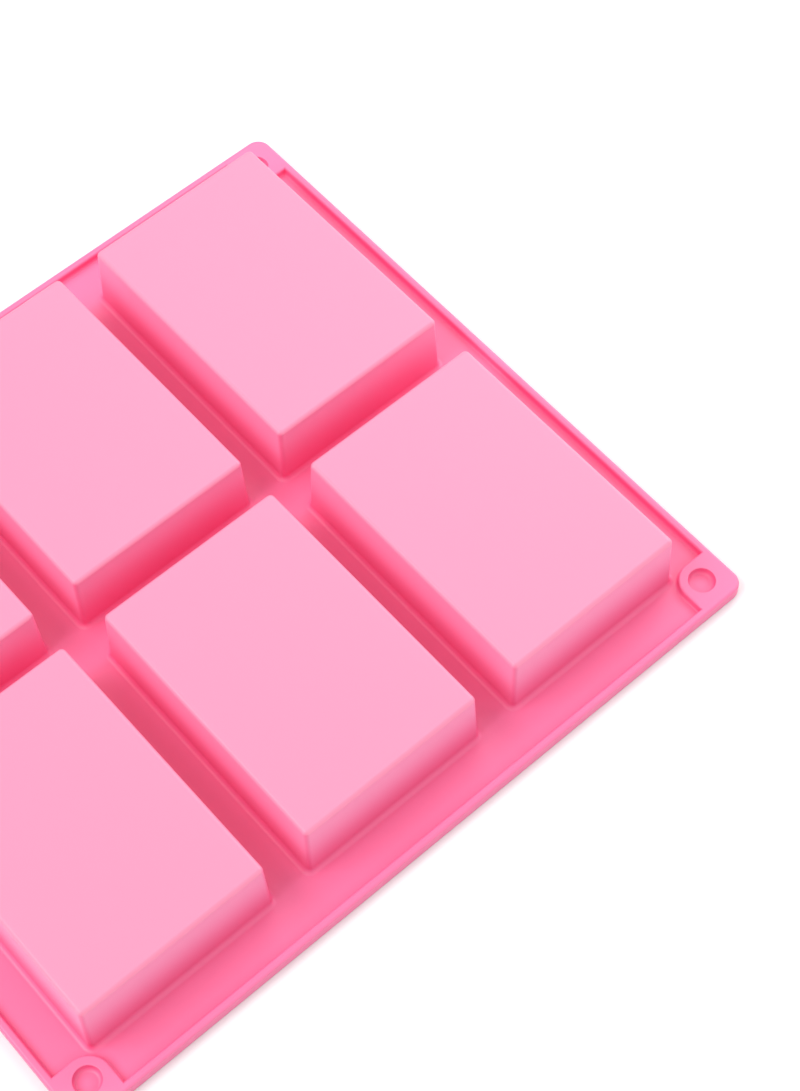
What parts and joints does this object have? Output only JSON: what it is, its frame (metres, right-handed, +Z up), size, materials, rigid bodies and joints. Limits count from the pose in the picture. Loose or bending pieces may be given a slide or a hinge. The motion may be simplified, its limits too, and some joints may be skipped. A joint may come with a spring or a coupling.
{
  "type": "soap mould",
  "caption": "Flexible one-piece moulding tray with rectangular bar cavities, a raised rim bead and a blind round recess in each corner pad.",
  "frame": {"origin": "middle of the footprint, on the surface that the mould lies on with its mouths down", "axes": "+X along the bars, +Y across the rows from row C to row A, +Z up, towards the cavity floors"},
  "size_m": [0.201, 0.219, 0.023],
  "materials": {
    "silicone": "satin"
  },
  "bodies": {
    "row_b": {"row_b_web": "silicone", "rim_row_b_left": "silicone", "rim_row_b_right": "silicone", "fold_strip_ab": "silicone", "fold_strip_bc": "silicone", "rim_fold_ab_left": "silicone", "rim_fold_ab_right": "silicone", "rim_fold_bc_left": "silicone", "rim_fold_bc_right": "silicone", "cavity_b1_wall": "silicone", "cavity_b1_floor_ring": "silicone", "cavity_b2_wall": "silicone", "cavity_b2_floor_ring": "silicone"},
    "row_a": {"row_a_web": "silicone", "rim_end_a": "silicone", "rim_row_a_left": "silicone", "rim_row_a_right": "silicone", "corner_pad_a_left": "silicone", "corner_pad_a_right": "silicone", "cavity_a1_wall": "silicone", "cavity_a1_floor_ring": "silicone", "cavity_a2_wall": "silicone", "cavity_a2_floor_ring": "silicone"},
    "row_c": {"row_c_web": "silicone", "rim_end_c": "silicone", "rim_row_c_left": "silicone", "rim_row_c_right": "silicone", "corner_pad_c_left": "silicone", "corner_pad_c_right": "silicone", "cavity_c1_wall": "silicone", "cavity_c1_floor_ring": "silicone", "cavity_c2_wall": "silicone", "cavity_c2_floor_ring": "silicone"},
    "floor_a1": {"cavity_a1_floor_panel": "silicone"},
    "floor_a2": {"cavity_a2_floor_panel": "silicone"},
    "floor_b1": {"cavity_b1_floor_panel": "silicone"},
    "floor_b2": {"cavity_b2_floor_panel": "silicone"},
    "floor_c1": {"cavity_c1_floor_panel": "silicone"},
    "floor_c2": {"cavity_c2_floor_panel": "silicone"}
  },
  "joints": [
    {"name": "fold_a", "type": "hinge", "parent": "row_b", "child": "row_a", "pos_m": [0, 0.03395, 0.0009], "axis": [1, 0, 0], "range_deg": [0, 25], "stiffness_Nm_per_rad": 0.04, "deforming": ["fold_strip_ab", "rim_fold_ab_left", "rim_fold_ab_right"]},
    {"name": "fold_c", "type": "hinge", "parent": "row_b", "child": "row_c", "pos_m": [0, -0.03395, 0.0009], "axis": [-1, 0, 0], "range_deg": [0, 25], "stiffness_Nm_per_rad": 0.04, "deforming": ["fold_strip_bc", "rim_fold_bc_left", "rim_fold_bc_right"]},
    {"name": "press_a1", "type": "slide", "parent": "row_a", "child": "floor_a1", "axis": [0, 0, -1], "range_m": [0, 0.008], "stiffness_N_per_m": 300, "deforming": ["cavity_a1_floor_ring"]},
    {"name": "press_a2", "type": "slide", "parent": "row_a", "child": "floor_a2", "axis": [0, 0, -1], "range_m": [0, 0.008], "stiffness_N_per_m": 300, "deforming": ["cavity_a2_floor_ring"]},
    {"name": "press_b1", "type": "slide", "parent": "row_b", "child": "floor_b1", "axis": [0, 0, -1], "range_m": [0, 0.008], "stiffness_N_per_m": 300, "deforming": ["cavity_b1_floor_ring"]},
    {"name": "press_b2", "type": "slide", "parent": "row_b", "child": "floor_b2", "axis": [0, 0, -1], "range_m": [0, 0.008], "stiffness_N_per_m": 300, "deforming": ["cavity_b2_floor_ring"]},
    {"name": "press_c1", "type": "slide", "parent": "row_c", "child": "floor_c1", "axis": [0, 0, -1], "range_m": [0, 0.008], "stiffness_N_per_m": 300, "deforming": ["cavity_c1_floor_ring"]},
    {"name": "press_c2", "type": "slide", "parent": "row_c", "child": "floor_c2", "axis": [0, 0, -1], "range_m": [0, 0.008], "stiffness_N_per_m": 300, "deforming": ["cavity_c2_floor_ring"]}
  ]
}
